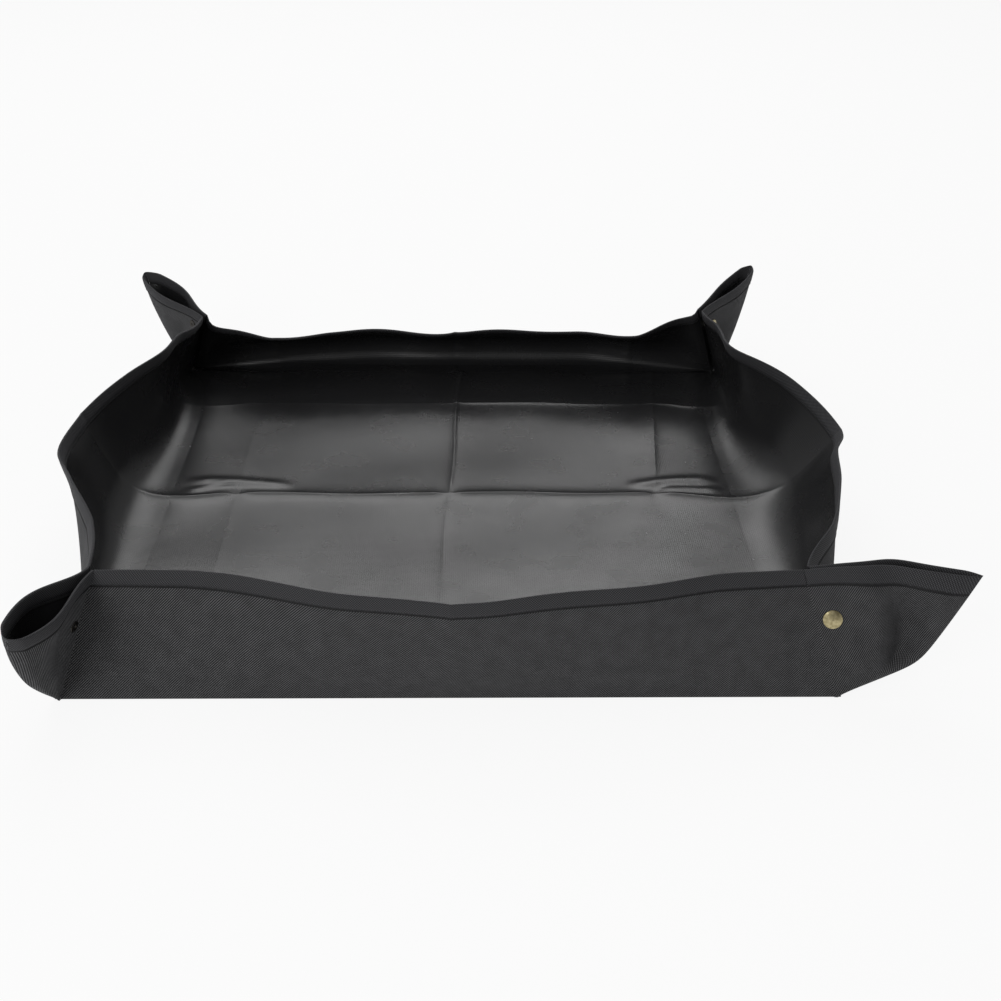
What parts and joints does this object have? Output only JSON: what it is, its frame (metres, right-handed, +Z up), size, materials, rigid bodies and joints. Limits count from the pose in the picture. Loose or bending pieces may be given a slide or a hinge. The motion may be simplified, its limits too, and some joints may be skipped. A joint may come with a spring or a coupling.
{
  "type": "folding potting soil tray",
  "caption": "Square fabric potting tray with a glossy film lining, a bound rim and corners pinched into ears by press studs; it unsnaps and folds flat.",
  "frame": {"origin": "middle of the underside, on the surface that the tray stands on", "axes": "+Z up, +X along the front rim to the right, -Y towards the front"},
  "size_m": [0.7498, 0.7385, 0.1124],
  "materials": {
    "twill_cloth": "black coarse twill, matt with a faint sheen",
    "film_lining": "black coated film, half gloss, creased by folding",
    "hem_binding": "black bound edge, plain weave, one row of stitches",
    "antique_brass": "antique brass, worn bright at its rim",
    "plated_steel": "nickel plate",
    "blackened_metal": "blackened, half gloss"
  },
  "bodies": {
    "floor": {"floor_cloth": "twill_cloth", "floor_film": "film_lining"},
    "wall_front": {"wall_front_cloth": "twill_cloth", "wall_front_film": "film_lining", "wall_front_hem": "hem_binding"},
    "wall_right": {"wall_right_cloth": "twill_cloth", "wall_right_film": "film_lining", "wall_right_hem": "hem_binding"},
    "wall_rear": {"wall_rear_cloth": "twill_cloth", "wall_rear_film": "film_lining", "wall_rear_hem": "hem_binding"},
    "wall_left": {"wall_left_cloth": "twill_cloth", "wall_left_film": "film_lining", "wall_left_hem": "hem_binding"},
    "leaf_front_right": {"leaf_front_right_cloth": "twill_cloth", "leaf_front_right_film": "film_lining", "leaf_front_right_hem": "hem_binding", "stud_front_cap": "antique_brass", "stud_front_socket": "plated_steel"},
    "leaf_right_left": {"leaf_right_left_cloth": "twill_cloth", "leaf_right_left_film": "film_lining", "leaf_right_left_hem": "hem_binding", "stud_front_ball": "plated_steel", "stud_front_post": "blackened_metal"},
    "leaf_right_right": {"leaf_right_right_cloth": "twill_cloth", "leaf_right_right_film": "film_lining", "leaf_right_right_hem": "hem_binding", "stud_right_cap": "antique_brass", "stud_right_socket": "plated_steel"},
    "leaf_rear_left": {"leaf_rear_left_cloth": "twill_cloth", "leaf_rear_left_film": "film_lining", "leaf_rear_left_hem": "hem_binding", "stud_right_ball": "plated_steel", "stud_right_post": "blackened_metal"},
    "leaf_rear_right": {"leaf_rear_right_cloth": "twill_cloth", "leaf_rear_right_film": "film_lining", "leaf_rear_right_hem": "hem_binding", "stud_rear_cap": "antique_brass", "stud_rear_socket": "plated_steel"},
    "leaf_left_left": {"leaf_left_left_cloth": "twill_cloth", "leaf_left_left_film": "film_lining", "leaf_left_left_hem": "hem_binding", "stud_rear_ball": "plated_steel", "stud_rear_post": "blackened_metal"},
    "leaf_left_right": {"leaf_left_right_cloth": "twill_cloth", "leaf_left_right_film": "film_lining", "leaf_left_right_hem": "hem_binding", "stud_left_cap": "antique_brass", "stud_left_socket": "plated_steel"},
    "leaf_front_left": {"leaf_front_left_cloth": "twill_cloth", "leaf_front_left_film": "film_lining", "leaf_front_left_hem": "hem_binding", "stud_left_ball": "plated_steel", "stud_left_post": "blackened_metal"}
  },
  "joints": [
    {"name": "fold_front", "type": "hinge", "parent": "floor", "child": "wall_front", "pos_m": [0, -0.3, 0.0012], "axis": [1, 0, 0], "range_deg": [0, 107.46]},
    {"name": "fold_right", "type": "hinge", "parent": "floor", "child": "wall_right", "pos_m": [0.3, 0, 0.0012], "axis": [0, 1, 0], "range_deg": [0, 107.46]},
    {"name": "fold_rear", "type": "hinge", "parent": "floor", "child": "wall_rear", "pos_m": [0, 0.3, 0.0012], "axis": [-1, 0, 0], "range_deg": [0, 107.46]},
    {"name": "fold_left", "type": "hinge", "parent": "floor", "child": "wall_left", "pos_m": [-0.3, 0, 0.0012], "axis": [0, -1, 0], "range_deg": [0, 107.46]},
    {"name": "open_front_right", "type": "hinge", "parent": "wall_front", "child": "leaf_front_right", "pos_m": [0.296, -0.30114, 0.00156], "axis": [-0.2873, 0.2873, 0.9137], "range_deg": [0, 10.02]},
    {"name": "open_right_left", "type": "hinge", "parent": "wall_right", "child": "leaf_right_left", "pos_m": [0.30114, -0.296, 0.00156], "axis": [0.2873, -0.2873, -0.9137], "range_deg": [0, 86.15]},
    {"name": "open_right_right", "type": "hinge", "parent": "wall_right", "child": "leaf_right_right", "pos_m": [0.30114, 0.296, 0.00156], "axis": [-0.2873, -0.2873, 0.9137], "range_deg": [0, 40.9]},
    {"name": "open_rear_left", "type": "hinge", "parent": "wall_rear", "child": "leaf_rear_left", "pos_m": [0.296, 0.30114, 0.00156], "axis": [0.2873, 0.2873, -0.9137], "range_deg": [0, 56.12]},
    {"name": "open_rear_right", "type": "hinge", "parent": "wall_rear", "child": "leaf_rear_right", "pos_m": [-0.296, 0.30114, 0.00156], "axis": [0.2873, -0.2873, 0.9137], "range_deg": [0, 48.53]},
    {"name": "open_left_left", "type": "hinge", "parent": "wall_left", "child": "leaf_left_left", "pos_m": [-0.30114, 0.296, 0.00156], "axis": [-0.2873, 0.2873, -0.9137], "range_deg": [0, 48.53]},
    {"name": "open_left_right", "type": "hinge", "parent": "wall_left", "child": "leaf_left_right", "pos_m": [-0.30114, -0.296, 0.00156], "axis": [0.2873, 0.2873, 0.9137], "range_deg": [0, 19.73]},
    {"name": "open_front_left", "type": "hinge", "parent": "wall_front", "child": "leaf_front_left", "pos_m": [-0.296, -0.30114, 0.00156], "axis": [-0.2873, -0.2873, -0.9137], "range_deg": [0, 76.83]}
  ],
  "couplings": [
    {"joint": "fold_right", "follows": "fold_front", "ratio": 1},
    {"joint": "fold_rear", "follows": "fold_front", "ratio": 1},
    {"joint": "fold_left", "follows": "fold_front", "ratio": 1},
    {"joint": "open_front_right", "follows": "fold_front", "ratio": 0.093167},
    {"joint": "open_right_left", "follows": "fold_front", "ratio": 0.80164},
    {"joint": "open_right_right", "follows": "fold_front", "ratio": 0.38051},
    {"joint": "open_rear_left", "follows": "fold_front", "ratio": 0.5222},
    {"joint": "open_rear_right", "follows": "fold_front", "ratio": 0.45153},
    {"joint": "open_left_left", "follows": "fold_front", "ratio": 0.45153},
    {"joint": "open_left_right", "follows": "fold_front", "ratio": 0.18349},
    {"joint": "open_front_left", "follows": "fold_front", "ratio": 0.71484}
  ]
}
